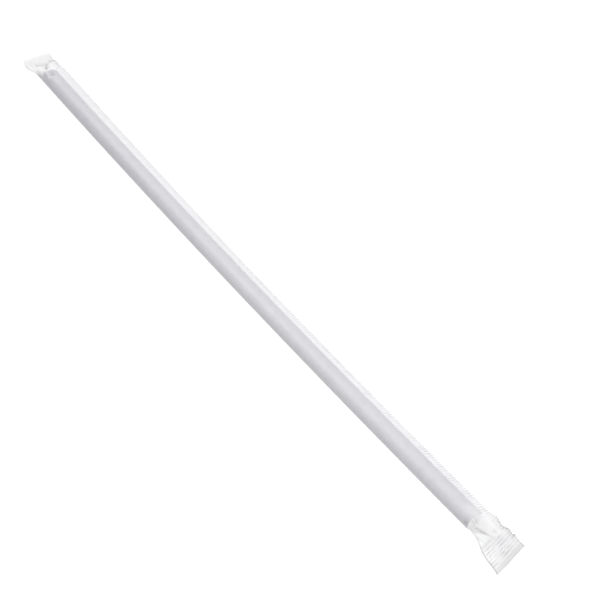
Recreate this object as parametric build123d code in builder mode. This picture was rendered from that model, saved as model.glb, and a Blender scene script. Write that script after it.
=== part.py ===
"""A drinking straw sealed in its own paper sleeve, lying on a table.

The straw runs along X and is slightly bowed. The sleeve is one sheet of thin paper, folded round
the straw and pressed together in three crimped seams: one along the +Y side, one across each end.
Millimetres, +Z up, origin on the table under the middle of the straw.
"""

import os
from math import cos, degrees, radians, sin, tan

from build123d import *

# Straw: an extruded tube with cut ends, and the slight set it has taken in its box.
straw_length = 260.35
straw_diameter = 5.72
straw_wall = 0.18
bow_rise = 1.5

# Paper sleeve round the straw, seen in section across it.
paper = 0.1
seat_gap = 0.02
top_slack = 0.2
side_slack = 0.25
end_play = 0.6
foot_width = 2.6
seam_reach = 3.8
seam_height = 2.1
waist_height = 2.8
side_bulge = 0.15
under_bulge = 0.07

# Crimping: both plies pressed into rows of ridges.
crimp_pitch = 1.1
crimp_depth = 0.24
seal_overlap = 0.15

# Long seam: a smooth band next to the straw, then a crimped band whose ridges lean.
seam_lean = 35
smooth_edge_far = 5.2
smooth_edge_middle = 4.7
smooth_edge_near = 4.4
seam_edge_far = 7.0
seam_edge_middle = 6.1
seam_edge_near = 5.9

# Near end: the sleeve is pinched past the straw, then flares into a straight-cut seal.
near_flap_length = 17.4
near_seal_rows = 8
near_pinch_length = 1.8
near_pinch_left = 2.95
near_pinch_right = 3.8
near_shoulder_length = 5.2
near_shoulder_left = 3.55
near_shoulder_right = 3.9
near_mouth_left = 5.1
near_mouth_right = 4.0
near_mouth_foot = 5.0
near_seal_left = 5.3
near_seal_right = 6.4
near_cut_left = 6.8
near_cut_right = 6.0

# Far end: cut and sealed askew, with a step where the long seam runs into the seal.
far_flap_skew = 29.5
far_flap_length = 13.4
far_seal_rows = 5
far_pinch_length = 1.8
far_pinch_left = 3.0
far_pinch_right = 3.9
far_shoulder_length = 4.2
far_shoulder_left = 3.4
far_shoulder_right = 4.2
far_mouth_left = 4.7
far_mouth_right = 4.6
far_mouth_foot = 5.0
far_seal_left = 1.8
far_seal_right = 10.4
far_step_depth = 4.3
far_step_right = 8.8
far_cut_left = 3.9
far_cut_right = 7.5

# Nicks where the edge of the near flap is torn between two ridges.
nick_width = 0.7
nick_depth = 0.5
left_nick_length = 12.3
right_nick_length = 12.1

# Sizes that follow from those above.
half_length = straw_length / 2
bow_radius = (half_length**2 + bow_rise**2) / (2 * bow_rise)
bow_axis = Axis((0, bow_radius, 0), (0, 0, 1))
straw_radius = straw_diameter / 2
straw_height = paper + seat_gap + straw_radius
sleeve_height = straw_height + straw_radius + top_slack + paper
sleeve_left = straw_radius + side_slack + paper
sleeve_half = half_length + end_play
two_plies = 2 * paper
near_mouth_length = near_flap_length - near_seal_rows * crimp_pitch
far_mouth_length = far_flap_length - far_seal_rows * crimp_pitch / cos(radians(far_flap_skew))
near_reach = half_length + near_mouth_length
far_reach = half_length + far_mouth_length
seam_root = seam_reach - 2 * paper
seam_spread = 2 * seam_edge_far
lean_rows = round(seam_edge_far * tan(radians(seam_lean)) / crimp_pitch) + 2
seam_rows = round((far_reach + near_reach) / crimp_pitch) + 2 * lean_rows
seam_start = -far_reach - lean_rows * crimp_pitch

# Sections of the sleeve past the straw: how far past, reach left and right, and width of the foot.
round_section = (end_play, sleeve_left, seam_reach, foot_width)
near_sections = (
    round_section,
    (near_pinch_length, near_pinch_left, near_pinch_right, foot_width),
    (near_shoulder_length, near_shoulder_left, near_shoulder_right, foot_width),
    (near_mouth_length, near_mouth_left, near_mouth_right, near_mouth_foot),
)
far_sections = (
    round_section,
    (far_pinch_length, far_pinch_left, far_pinch_right, foot_width),
    (far_shoulder_length, far_shoulder_left, far_shoulder_right, foot_width),
    (far_mouth_length, far_mouth_left, far_mouth_right, far_mouth_foot),
)


def station(along, turn=0.0):
    """Upright plane across the straw's line: x runs to the seam side, y up from the table."""
    bend = along / bow_radius
    heading = bend + radians(turn)
    return Plane(
        origin=(bow_radius * sin(bend), bow_radius * (1 - cos(bend)), 0),
        x_dir=(-sin(heading), cos(heading), 0),
        z_dir=(cos(heading), sin(heading), 0),
    )


def plan(along, height, turn=0.0):
    """Level plane over a point of the straw's line: x runs along the straw, y to the seam side."""
    upright = station(along, turn)
    return Plane(upright.origin + Vector(0, 0, height), x_dir=upright.z_dir, z_dir=(0, 0, 1))


def spot(along, across):
    """Point level with the table, at a distance along the straw's line and to the seam side."""
    return station(along).from_local_coords((across, 0, 0))


def far_mouth_spot(across):
    """Point of the skewed line where the far seal starts."""
    return spot(-half_length - far_mouth_length + across * tan(radians(far_flap_skew)), across)


def seam_line(far, middle, near):
    """Points of a line along the long seam, from seal to seal, given how far it lies from the straw."""
    return [
        far_mouth_spot(far),
        spot(-half_length / 2, (far + middle) / 2),
        spot(0, middle),
        spot(half_length / 2, (middle + near) / 2),
        spot(near_reach, near),
    ]


def sleeve_outline(left, right, foot, top, bottom, inset):
    """Sleeve in section: a flat foot and four slack sides that meet at the seam."""
    rise = top - bottom
    foot_left = (-foot / 2, bottom + inset)
    foot_right = (foot / 2, bottom + inset)
    seam = (right - 2 * inset, seam_height)
    crown = (0, top - inset)
    waist = (inset - left, bottom + rise * waist_height / sleeve_height)
    over = side_bulge * (rise - 2 * inset)
    under = under_bulge * (rise - 2 * inset)
    Line(foot_left, foot_right)
    SagittaArc(foot_right, seam, -under)
    SagittaArc(seam, crown, -over)
    SagittaArc(crown, waist, -over)
    SagittaArc(waist, foot_left, -under)


def closing_outline(share, left, right, foot, inset):
    """Sleeve on its way from round, at share 0, to the flat mouth of a seal, at share 1."""
    top = sleeve_height + share * (seam_height + two_plies - sleeve_height)
    bottom = share * (seam_height - two_plies)
    sleeve_outline(left, right, foot, top, bottom, inset)


def sleeve(inset):
    """Solid inside the sleeve's outer face, or with an inset of one ply inside its inner face."""
    with BuildPart() as solid:
        with BuildSketch(station(-sleeve_half)):
            with BuildLine():
                closing_outline(0, sleeve_left, seam_reach, foot_width, inset)
            make_face()
        revolve(axis=bow_axis, revolution_arc=degrees(2 * sleeve_half / bow_radius))
        for out, left, right, foot in near_sections:
            share = (out - end_play) / (near_mouth_length - end_play)
            with BuildSketch(station(half_length + out)):
                with BuildLine():
                    closing_outline(share, left, right, foot, inset)
                make_face()
        loft(ruled=True)
        for out, left, right, foot in far_sections:
            share = (out - end_play) / (far_mouth_length - end_play)
            with BuildSketch(station(-half_length - out, -share * far_flap_skew)):
                with BuildLine():
                    closing_outline(share, left, right, foot, inset)
                make_face()
        loft(ruled=True)
    return solid.part


def ridges(start, rows):
    """Two plies pressed into a row of ridges, seen along the ridges."""
    crests = [(start + i * crimp_pitch / 2, crimp_depth / 2 * (-1) ** i) for i in range(2 * rows + 1)]
    over = [(x, z + paper) for x, z in crests]
    under = [(x, z - paper) for x, z in reversed(crests)]
    Polyline(*over, *under, close=True)


# Straw

with BuildPart() as straw:
    with BuildSketch(station(-half_length)):
        with Locations((0, straw_height)):
            Circle(straw_radius)
            Circle(straw_radius - straw_wall, mode=Mode.SUBTRACT)
    revolve(axis=bow_axis, revolution_arc=degrees(straw_length / bow_radius))

straw.part.label = "straw"

# Long seam, crimped: a ridged strip with leaning ridges, trimmed to the band's outline

with BuildPart() as crimped_seam:
    with BuildSketch(Plane((0, 0, seam_height), x_dir=(1, 0, 0), z_dir=(0, -1, 0))):
        with BuildLine():
            ridges(seam_start, seam_rows)
        make_face()
    lean = Vector(sin(radians(seam_lean)), cos(radians(seam_lean)), 0)
    extrude(amount=seam_spread, dir=lean)
    with BuildSketch(Plane.XY):
        with BuildLine():
            Polyline(
                *seam_line(smooth_edge_far, smooth_edge_middle, smooth_edge_near),
                *reversed(seam_line(seam_edge_far, seam_edge_middle, seam_edge_near)),
                close=True,
            )
        make_face()
    extrude(amount=sleeve_height, clean=False, mode=Mode.INTERSECT)

# Near seal: ridges square to the straw, the edge nicked once on each side

with BuildPart() as near_seal:
    near_plan = plan(half_length, seam_height)
    near_side = Plane(near_plan.origin, x_dir=near_plan.x_dir, z_dir=-near_plan.y_dir)
    with BuildSketch(near_side):
        with BuildLine():
            ridges(near_mouth_length - seal_overlap, near_seal_rows)
        make_face()
    extrude(amount=near_cut_left + near_cut_right, both=True)
    with BuildSketch(near_plan):
        with BuildLine():
            Polyline(
                (near_mouth_length - seal_overlap, -near_seal_left),
                (left_nick_length - nick_width / 2, -near_cut_left + nick_depth),
                (left_nick_length, -near_seal_left),
                (left_nick_length + nick_width / 2, -near_cut_left + nick_depth / 2),
                (near_flap_length, -near_cut_left),
                (near_flap_length, near_cut_right),
                (right_nick_length + nick_width / 2, near_seal_right),
                (right_nick_length, near_seal_right - nick_depth),
                (near_mouth_length - seal_overlap, seam_edge_near),
                close=True,
            )
        make_face()
    extrude(amount=sleeve_height, both=True, mode=Mode.INTERSECT)

# Far seal: ridges askew, parallel to the cut

with BuildPart() as far_seal:
    far_plan = plan(-half_length - far_flap_length, seam_height, -far_flap_skew)
    far_side = Plane(far_plan.origin, x_dir=far_plan.x_dir, z_dir=-far_plan.y_dir)
    far_seal_depth = far_seal_rows * crimp_pitch
    with BuildSketch(far_side):
        with BuildLine():
            ridges(0, far_seal_rows + 1)
        make_face()
    extrude(amount=far_seal_left + far_seal_right, both=True)
    with BuildSketch(far_plan):
        with BuildLine():
            Polyline(
                (0, -far_cut_left),
                (far_seal_depth + seal_overlap, -far_seal_left),
                (far_seal_depth + seal_overlap, far_seal_right),
                (far_step_depth, far_step_right),
                (crimp_pitch, far_step_right),
                (0, far_cut_right),
                close=True,
            )
        make_face()
    extrude(amount=sleeve_height, both=True, mode=Mode.INTERSECT)

# Paper sleeve: the outside, the seam's smooth band and the crimped strips, then the hollow

outside = sleeve(0)
hollow = sleeve(paper)

with BuildPart() as paper_wrapper:
    add(outside)
    with BuildSketch(Plane.XY.offset(seam_height - paper)):
        with BuildLine():
            Polyline(
                *seam_line(seam_root, seam_root, seam_root),
                *reversed(seam_line(smooth_edge_far, smooth_edge_middle, smooth_edge_near)),
                close=True,
            )
        make_face()
    extrude(amount=two_plies)
    add(near_seal.part)
    add(far_seal.part)
    add(hollow, mode=Mode.SUBTRACT)
    add(crimped_seam.part, clean=False)

paper_wrapper.part.label = "paper_wrapper"

os.makedirs("parts", exist_ok=True)
export_step(straw.part, "parts/straw.step")
export_step(paper_wrapper.part, "parts/paper_wrapper.step")
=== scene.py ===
"""Looks of a drinking straw sealed in its own thin paper sleeve, lying on a pale floor.

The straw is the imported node. The sleeve is one sheet of paper: it is cut flat, folded round the
straw, pressed together in its three crimped seams and given its thickness. Sizes are in
millimetres, and become metres where a mesh is placed.
"""

import logging
import math
from collections.abc import Callable
from dataclasses import dataclass
from enum import Enum

import bpy
import numpy as np
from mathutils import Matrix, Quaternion, Vector, noise


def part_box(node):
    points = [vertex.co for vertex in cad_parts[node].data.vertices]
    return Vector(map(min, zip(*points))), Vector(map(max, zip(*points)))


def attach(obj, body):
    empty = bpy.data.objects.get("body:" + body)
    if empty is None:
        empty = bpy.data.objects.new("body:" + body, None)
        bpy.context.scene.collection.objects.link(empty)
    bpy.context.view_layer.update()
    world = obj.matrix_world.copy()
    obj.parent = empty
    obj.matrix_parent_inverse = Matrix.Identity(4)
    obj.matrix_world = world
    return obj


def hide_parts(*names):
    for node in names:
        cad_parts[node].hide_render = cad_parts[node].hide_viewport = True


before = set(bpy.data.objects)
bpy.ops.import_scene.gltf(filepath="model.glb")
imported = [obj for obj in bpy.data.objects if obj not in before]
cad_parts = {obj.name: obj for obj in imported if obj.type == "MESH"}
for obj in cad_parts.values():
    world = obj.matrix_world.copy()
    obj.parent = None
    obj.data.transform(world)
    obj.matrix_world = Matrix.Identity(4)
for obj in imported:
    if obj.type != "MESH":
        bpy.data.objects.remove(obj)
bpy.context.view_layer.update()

log = logging.getLogger("wrapped_straw")

MM = 0.001
BAND_ROWS = 2  # Rows of each ply in the long seam: the crimped band and the smooth band.


class Slot(Enum):
    """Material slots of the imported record."""

    PAPER = "wrapper_paper"
    PLASTIC = "straw_plastic"


class Node(Enum):
    """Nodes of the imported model."""

    SLEEVE = "paper_wrapper"
    STRAW = "straw"


class Mark(Enum):
    """Named attributes of the paper that its material reads."""

    OVER_STRAW = "over_straw"
    # Painted shade in creases, ridge valleys and along flap edges, painted light on crests and in pale
    # patches.
    HOLLOW = "painted_light_and_shade"


def smooth(low: float, high: float, value: np.ndarray) -> np.ndarray:
    """Rise from 0 at low to 1 at high, level at both ends.

    Args:
        low: Value at which the rise starts.
        high: Value at which it is complete. It may be under low, for a fall.
        value: Where the rise is wanted.

    Returns:
        The share risen at each value.
    """
    share = np.clip((value - low) / (high - low), 0.0, 1.0)
    return share * share * (3.0 - 2.0 * share)


def arc(start: tuple, end: tuple, bulge: float, count: int) -> np.ndarray:
    """Points of a flat arc.

    Args:
        start: First point.
        end: Last point.
        bulge: How far the arc stands out to the left of the way from start to end.
        count: Number of steps along it.

    Returns:
        count + 1 points, one to a row.
    """
    first = np.array(start, float)
    chord = np.array(end, float) - first
    length = np.linalg.norm(chord)
    ahead = chord / length
    left = np.array((-ahead[1], ahead[0]))
    radius = (length**2 / 4 + bulge**2) / (2 * bulge)
    half_angle = math.asin(length / 2 / radius)
    angle = np.linspace(-half_angle, half_angle, count + 1)[:, None]
    middle = first + chord / 2
    return middle + ahead * radius * np.sin(angle) + left * (radius * np.cos(angle) - radius + bulge)


def even_points(line: np.ndarray, count: int) -> np.ndarray:
    """Spread points evenly along a line.

    Args:
        line: Points of the line, one to a row.
        count: Number of steps wanted.

    Returns:
        count + 1 points at equal distances along the line.
    """
    steps = np.linalg.norm(np.diff(line, axis=0), axis=1)
    run = np.concatenate(([0.0], np.cumsum(steps)))
    wanted = np.linspace(0.0, run[-1], count + 1)
    return np.stack([np.interp(wanted, run, line[:, k]) for k in range(line.shape[1])], axis=1)


@dataclass(frozen=True)
class Ripple:
    """Smooth noise over the paper, the same on each run.

    Attributes:
        grain: Size of its features.
        seed: Any number; another one gives another noise.
        size: About its greatest value, up and down.
        run: Share of the distance along the straw that counts; a small one draws features out.
        reach: Share of the distance across the straw that counts.
    """

    grain: float
    seed: float
    size: float = 1.0
    run: float = 1.0
    reach: float = 1.0

    def at(self, along: np.ndarray, across: np.ndarray) -> np.ndarray:
        """Work out the noise.

        Args:
            along: Distances along the straw.
            across: Distances across it.

        Returns:
            The noise at each place.
        """
        runs = along * self.run / self.grain
        reaches = across * self.reach / self.grain
        places = zip(runs.tolist(), reaches.tolist())
        return self.size * np.array([noise.noise((x, y, self.seed)) for x, y in places])


@dataclass(frozen=True)
class StrawLine:
    """Bowed middle line of the straw, level with the table.

    Attributes:
        half_length: Half the straw's length.
        bow_rise: How far the middle of the line lies from the line between its ends.
    """

    half_length: float
    bow_rise: float = 1.5

    @property
    def bow_radius(self) -> float:
        """Radius of the bow."""
        return (self.half_length**2 + self.bow_rise**2) / (2 * self.bow_rise)

    def place(self, along: np.ndarray, across: np.ndarray, height: np.ndarray) -> np.ndarray:
        """Put points round the line.

        Args:
            along: Distances along the line from its middle.
            across: Distances from the line to the seam's side.
            height: Heights above the table.

        Returns:
            The points, one to a row, in metres.
        """
        bend = along / self.bow_radius
        reach = self.bow_radius - across
        x = reach * np.sin(bend)
        y = self.bow_radius - reach * np.cos(bend)
        return np.stack([x, y, height], axis=-1) * MM


class Palette:
    """Colours as linear values."""

    PAPER = (0.908, 0.908, 0.918, 1.0)
    SHOW_THROUGH = (0.582, 0.58, 0.62, 1.0)
    PLASTIC = (0.011, 0.011, 0.012, 1.0)
    FLOOR = (0.80, 0.80, 0.80, 1.0)
    BACKGROUND = (1.0, 1.0, 1.0, 1.0)


class NodeSheet:
    """Small helper that lays out one material's nodes."""

    MIX_SHARE, MIX_FIRST, MIX_SECOND, MIX_RESULT = 0, 6, 7, 2  # A Mix node's colour sockets.

    def __init__(self, name: str) -> None:
        """Start a material with an output and a Principled shader.

        Args:
            name: The material's name.
        """
        self.material = bpy.data.materials.new(name)
        self.material.use_nodes = True
        self.tree = self.material.node_tree
        self.tree.nodes.clear()
        self.output = self.add("ShaderNodeOutputMaterial")
        self.shader = self.add("ShaderNodeBsdfPrincipled")
        self.join(self.shader.outputs["BSDF"], self.output.inputs["Surface"])

    def add(self, kind: str, **settings: object) -> bpy.types.Node:
        """Add a node.

        Args:
            kind: Blender's name of the node's type.
            **settings: Properties of the node to set.

        Returns:
            The new node.
        """
        node = self.tree.nodes.new(kind)
        for key, value in settings.items():
            setattr(node, key, value)
        return node

    def join(self, start: bpy.types.NodeSocket, end: bpy.types.NodeSocket) -> None:
        """Link an output socket to an input socket."""
        self.tree.links.new(start, end)

    def feed(self, start: bpy.types.NodeSocket, name: str) -> None:
        """Link a socket to the shader's input of that name."""
        self.join(start, self.shader.inputs[name])

    def place(self) -> bpy.types.NodeSocket:
        """Add the object coordinates."""
        return self.add("ShaderNodeTexCoord").outputs["Object"]

    def drawn_out(self, share: float) -> bpy.types.NodeSocket:
        """Add object coordinates that draw a pattern out along the straw.

        Args:
            share: Share of the distance along the straw that counts.

        Returns:
            The socket of the coordinates.
        """
        node = self.add("ShaderNodeMapping")
        node.inputs["Scale"].default_value = (share, 1.0, 1.0)
        self.join(self.place(), node.inputs["Vector"])
        return node.outputs["Vector"]

    def mark(self, name: Mark) -> bpy.types.NodeSocket:
        """Add the value of one of the paper's named attributes."""
        return self.add("ShaderNodeAttribute", attribute_name=name.value).outputs["Fac"]

    def noise(self, vector: bpy.types.NodeSocket, scale: float, detail: float) -> bpy.types.NodeSocket:
        """Add a noise texture.

        Args:
            vector: Where the noise reads its place.
            scale: Features to a metre.
            detail: Finer layers in it.

        Returns:
            The noise's value socket, between 0 and 1.
        """
        node = self.add("ShaderNodeTexNoise")
        node.inputs["Scale"].default_value = scale
        node.inputs["Detail"].default_value = detail
        self.join(vector, node.inputs["Vector"])
        return node.outputs["Fac"]

    def span(
        self, value: bpy.types.NodeSocket, low: float, high: float, start: float = 0.3, stop: float = 0.7
    ) -> bpy.types.NodeSocket:
        """Map a value to another range.

        Args:
            value: Socket with the value.
            low: Result at start.
            high: Result at stop.
            start: Value that becomes low. Noise mostly lies between 0.3 and 0.7.
            stop: Value that becomes high.

        Returns:
            The socket of the result.
        """
        node = self.add("ShaderNodeMapRange")
        node.inputs["From Min"].default_value = start
        node.inputs["From Max"].default_value = stop
        node.inputs["To Min"].default_value = low
        node.inputs["To Max"].default_value = high
        self.join(value, node.inputs["Value"])
        return node.outputs["Result"]

    def mix(self, share: bpy.types.NodeSocket, first: tuple, second: tuple) -> bpy.types.NodeSocket:
        """Mix two colours.

        Args:
            share: Socket with the share of the second colour.
            first: Colour at share 0.
            second: Colour at share 1.

        Returns:
            The mixed colour's socket.
        """
        node = self.add("ShaderNodeMix", data_type="RGBA")
        node.inputs[self.MIX_FIRST].default_value = first
        node.inputs[self.MIX_SECOND].default_value = second
        self.join(share, node.inputs[self.MIX_SHARE])
        return node.outputs[self.MIX_RESULT]

    def tint(self, colour: bpy.types.NodeSocket, shade: bpy.types.NodeSocket) -> bpy.types.NodeSocket:
        """Multiply a colour by a grey value.

        Args:
            colour: Socket with the colour.
            shade: Socket with the grey value.

        Returns:
            The tinted colour's socket.
        """
        node = self.add("ShaderNodeVectorMath", operation="SCALE")
        self.join(colour, node.inputs["Vector"])
        self.join(shade, node.inputs["Scale"])
        return node.outputs["Vector"]

    def bump(self, height: bpy.types.NodeSocket, distance: float, strength: float) -> None:
        """Give the shader a bump.

        Args:
            height: Socket with the height, from 0 to 1.
            distance: Height in metres that 1 stands for.
            strength: How strongly it shows.
        """
        node = self.add("ShaderNodeBump")
        node.inputs["Distance"].default_value = distance
        node.inputs["Strength"].default_value = strength
        self.join(height, node.inputs["Height"])
        self.feed(node.outputs["Normal"], "Normal")


def backdrop_rays(tree: bpy.types.NodeTree) -> bpy.types.NodeSocket:
    """Tell apart the rays that show the backdrop: the camera's, reflected and refracted ones.

    Args:
        tree: Nodes to add to.

    Returns:
        A socket that is 1 for those rays and 0 for the light that falls on the object.
    """
    rays = tree.nodes.new("ShaderNodeLightPath")
    seen = rays.outputs["Is Camera Ray"]
    for kind in ("Is Glossy Ray", "Is Transmission Ray"):
        either = tree.nodes.new("ShaderNodeMath")
        either.operation = "MAXIMUM"
        tree.links.new(seen, either.inputs[0])
        tree.links.new(rays.outputs[kind], either.inputs[1])
        seen = either.outputs[0]
    return seen


@dataclass(frozen=True)
class PaperFinish:
    """Thin machine-glazed wrapping paper, darker where the black straw shows through it.

    Attributes:
        cloud_scale: Clouds in the paper's formation, to a metre.
        cloud_detail: Finer layers in them.
        cloud_shade: Brightness of the darkest and the lightest ones.
        fibre_scale: Fibres across the paper's grain, to a metre.
        fibre_detail: Finer layers in them.
        grain: Share of the distance along the grain that counts for them.
        roughness: Roughness of the smoothest and the roughest ones.
        relief: How far they stand out.
        relief_strength: How strongly that shows.
        crease_shade: Painted shade: what is left of the paper's brightness in its deepest creases.
        palest: Value on a crest at which its painted highlight is palest, a crease's painted shade being
            0 to 1.
    """

    cloud_scale: float = 600.0
    cloud_detail: float = 3.0
    cloud_shade: tuple = (0.975, 1.02)
    fibre_scale: float = 5200.0
    fibre_detail: float = 2.0
    grain: float = 0.25
    roughness: tuple = (0.5, 0.65)
    relief: float = 0.01
    relief_strength: float = 0.5
    crease_shade: float = 0.45
    palest: float = -0.2

    def make(self) -> bpy.types.Material:
        """Build the material.

        Returns:
            The new material.
        """
        sheet = NodeSheet("wrapping_paper")
        colour = sheet.mix(sheet.mark(Mark.OVER_STRAW), Palette.PAPER, Palette.SHOW_THROUGH)
        clouds = sheet.noise(sheet.place(), self.cloud_scale, self.cloud_detail)
        colour = sheet.tint(colour, sheet.span(clouds, *self.cloud_shade))
        # Painted shade in creases and valleys, painted highlights on crests, read from the attribute.
        lightest = 1.0 - self.palest * (1.0 - self.crease_shade)
        shade = sheet.span(sheet.mark(Mark.HOLLOW), lightest, self.crease_shade, self.palest, 1.0)
        sheet.feed(sheet.tint(colour, shade), "Base Color")
        fibres = sheet.noise(sheet.drawn_out(self.grain), self.fibre_scale, self.fibre_detail)
        sheet.feed(sheet.span(fibres, *self.roughness), "Roughness")
        sheet.bump(fibres, self.relief * MM, self.relief_strength)
        return sheet.material


@dataclass(frozen=True)
class PlasticFinish:
    """Glossy black extruded plastic with faint draw lines.

    Attributes:
        line_scale: Draw lines across the straw, to a metre.
        line_detail: Finer layers in them.
        draw: Share of the distance along the straw that counts for them.
        roughness: Roughness of the smoothest and the roughest ones.
        relief: How far they stand out.
        relief_strength: How strongly that shows.
    """

    line_scale: float = 2500.0
    line_detail: float = 2.0
    draw: float = 0.01
    roughness: tuple = (0.18, 0.3)
    relief: float = 0.01
    relief_strength: float = 0.4

    def make(self) -> bpy.types.Material:
        """Build the material.

        Returns:
            The new material.
        """
        sheet = NodeSheet("black_plastic")
        lines = sheet.noise(sheet.drawn_out(self.draw), self.line_scale, self.line_detail)
        sheet.shader.inputs["Base Color"].default_value = Palette.PLASTIC
        sheet.feed(sheet.span(lines, *self.roughness), "Roughness")
        sheet.bump(lines, self.relief * MM, self.relief_strength)
        return sheet.material


@dataclass(frozen=True)
class FloorFinish:
    """Pale matt floor that the camera sees as white, with the object's shadow left on it.

    Attributes:
        lift: Light that the floor adds for the rays that show the backdrop.
        roughness: Its roughness.
    """

    lift: float = 0.6
    roughness: float = 0.9

    def make(self) -> bpy.types.Material:
        """Build the material.

        Returns:
            The new material.
        """
        sheet = NodeSheet("pale_floor")
        sheet.shader.inputs["Base Color"].default_value = Palette.FLOOR
        sheet.shader.inputs["Roughness"].default_value = self.roughness
        sheet.shader.inputs["Specular IOR Level"].default_value = 0.0
        lifted = sheet.add("ShaderNodeMath", operation="MULTIPLY")
        lifted.inputs[1].default_value = self.lift
        sheet.join(backdrop_rays(sheet.tree), lifted.inputs[0])
        glow = sheet.add("ShaderNodeEmission")
        glow.inputs["Color"].default_value = Palette.BACKGROUND
        sheet.join(lifted.outputs[0], glow.inputs["Strength"])
        both = sheet.add("ShaderNodeAddShader")
        sheet.join(sheet.shader.outputs["BSDF"], both.inputs[0])
        sheet.join(glow.outputs["Emission"], both.inputs[1])
        sheet.join(both.outputs["Shader"], sheet.output.inputs["Surface"])
        return sheet.material


@dataclass(frozen=True)
class Section:
    """The sleeve round the straw, seen across it: a flat foot and four slack sides.

    Attributes:
        seam_reach: From the straw's line to the root of the long seam.
        seam_height: Height of the seam's two plies.
        crown_height: Top of the sleeve.
        waist_reach: From the straw's line to the sleeve's side away from the seam.
        waist_height: Height of that side's widest point.
        foot_width: Width pressed flat on the table.
        foot_height: Height of the sheet's middle there.
        over_bulge: How far the two upper sides bulge.
        under_bulge: How far the two lower sides bulge.
        fold_turn: Where the sleeve lies flat, width over which the sheet turns at its folded side.
        bead_height: How far each ply stands off beside that fold.
        bead_place: Distance of that bead from the fold.
        bead_width: Its width.
        side_steps: Steps along each of the sides.
        steps: Steps round the whole section.
    """

    seam_reach: float = 3.7
    seam_height: float = 2.1
    crown_height: float = 6.08
    waist_reach: float = 3.15
    waist_height: float = 2.8
    foot_width: float = 2.6
    foot_height: float = 0.045
    over_bulge: float = 0.9
    under_bulge: float = 0.42
    fold_turn: float = 0.2
    bead_height: float = 0.14
    bead_place: float = 0.6
    bead_width: float = 0.5
    side_steps: int = 40
    steps: int = 400

    def outline(self, ply: float) -> np.ndarray:
        """Points from the seam's upper ply over the crown and under to its lower ply.

        Args:
            ply: Half the distance between the seam's two plies.

        Returns:
            Evenly spaced points, each the distance across and the height.
        """
        upper_root = (self.seam_reach, self.seam_height + ply)
        lower_root = (self.seam_reach, self.seam_height - ply)
        crown = (0.0, self.crown_height)
        waist = (-self.waist_reach, self.waist_height)
        foot_left = (-self.foot_width / 2, self.foot_height)
        foot_right = (self.foot_width / 2, self.foot_height)
        sides = [
            arc(upper_root, crown, -self.over_bulge, self.side_steps),
            arc(crown, waist, -self.over_bulge, self.side_steps),
            arc(waist, foot_left, -self.under_bulge, self.side_steps),
            np.linspace(foot_left, foot_right, self.side_steps + 1),
            arc(foot_right, lower_root, -self.under_bulge, self.side_steps),
        ]
        return even_points(np.concatenate(sides), self.steps)

    @staticmethod
    def flat_across(turn: np.ndarray, fold_edge: np.ndarray, root: np.ndarray) -> np.ndarray:
        """Reach across the straw's line of the same way round when the sleeve lies flat."""
        return root - (root + fold_edge) * (1 - np.abs(2 * turn - 1))

    def flat_height(self, from_fold: np.ndarray, ply: float) -> np.ndarray:
        """Heights of the two plies where the sleeve lies flat.

        Args:
            from_fold: Distances from the folded side, below 0 on the lower ply.
            ply: Half the distance between the two plies.

        Returns:
            The heights.
        """
        bead = self.bead_height * np.exp(-((from_fold - self.bead_place) / self.bead_width) ** 2)
        return self.seam_height + np.clip(from_fold / self.fold_turn, -1.0, 1.0) * (ply + bead)


@dataclass(frozen=True)
class LongSeam:
    """The fin seal along the sleeve: a smooth band, then a crimped band with leaning ridges.

    Attributes:
        lean: How far the ridges lean towards the near end, in degrees.
        stations: Places along the straw's line where the widths are given.
        smooth_edge: Where the crimped band starts, at each station.
        outer_edge: The cut edge, at each station.
        ridge: Height of the ridges, from crest to valley.
        ridge_share: How much is left of that height, at each station.
        ridge_start: Distances from the crimped band's start over which the ridges rise.
        even_ridges: How much of their height is left on average.
        ridge_limits: The least and the most of it that is left anywhere.
        least_smooth: Least width of the smooth band.
        least_crimped: Least width of the crimped band.
        ragged: Unevenness of the cut edge.
        waves: Waves of the whole seam.
        wear: Unevenness of the ridges' height.
        wobble: Unevenness of the ridges' places.
    """

    lean: float = 35.0
    stations: tuple = (-130.0, 0.0, 130.0)
    smooth_edge: tuple = (5.2, 4.6, 3.9)
    outer_edge: tuple = (7.0, 6.1, 5.9)
    ridge: float = 0.32
    ridge_share: tuple = (0.6, 0.8, 1.1)
    ridge_start: tuple = (-0.15, 0.25)
    even_ridges: float = 0.85
    ridge_limits: tuple = (0.25, 1.25)
    least_smooth: float = 0.15
    least_crimped: float = 0.5
    ragged: Ripple = Ripple(1.3, 2.0, 0.12, reach=0.0)
    waves: Ripple = Ripple(5.0, 9.0, 0.14, reach=0.3)
    wear: Ripple = Ripple(3.4, 1.0, 0.6)
    wobble: Ripple = Ripple(2.0, 5.0, 0.1)


@dataclass(frozen=True)
class Slack:
    """Unevenness of the paper that goes loosely round the straw.

    Attributes:
        ripples: Shallow ripples, drawn out along the straw.
        folds: Slanting folds, each its slant, its noise and the noise of where it stands.
        fold_level: How much of the paper has such folds, from -1 to 1.
    """

    ripples: Ripple = Ripple(2.2, 7.0, 0.05, run=0.25)
    folds: tuple = (
        (1.1, Ripple(3.6, 14.0, 0.12, reach=0.25), Ripple(17.0, 14.0, reach=0.0)),
        (-1.3, Ripple(3.6, 15.0, 0.12, reach=0.25), Ripple(17.0, 15.0, reach=0.0)),
    )
    fold_level: float = 0.5

    def rise(self, station: np.ndarray, across: np.ndarray) -> np.ndarray:
        """Work out what the slack adds to the paper's height.

        Args:
            station: Distances along the straw's line.
            across: Distances from it to the seam's side.

        Returns:
            Heights to add.
        """
        height = self.ripples.at(station, across)
        for slant, fold, patch in self.folds:
            here = np.clip(patch.at(station, station) + self.fold_level, 0.0, 1.0)
            height = height + np.abs(fold.at(station + slant * across, across)) * here
        return height


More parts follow.
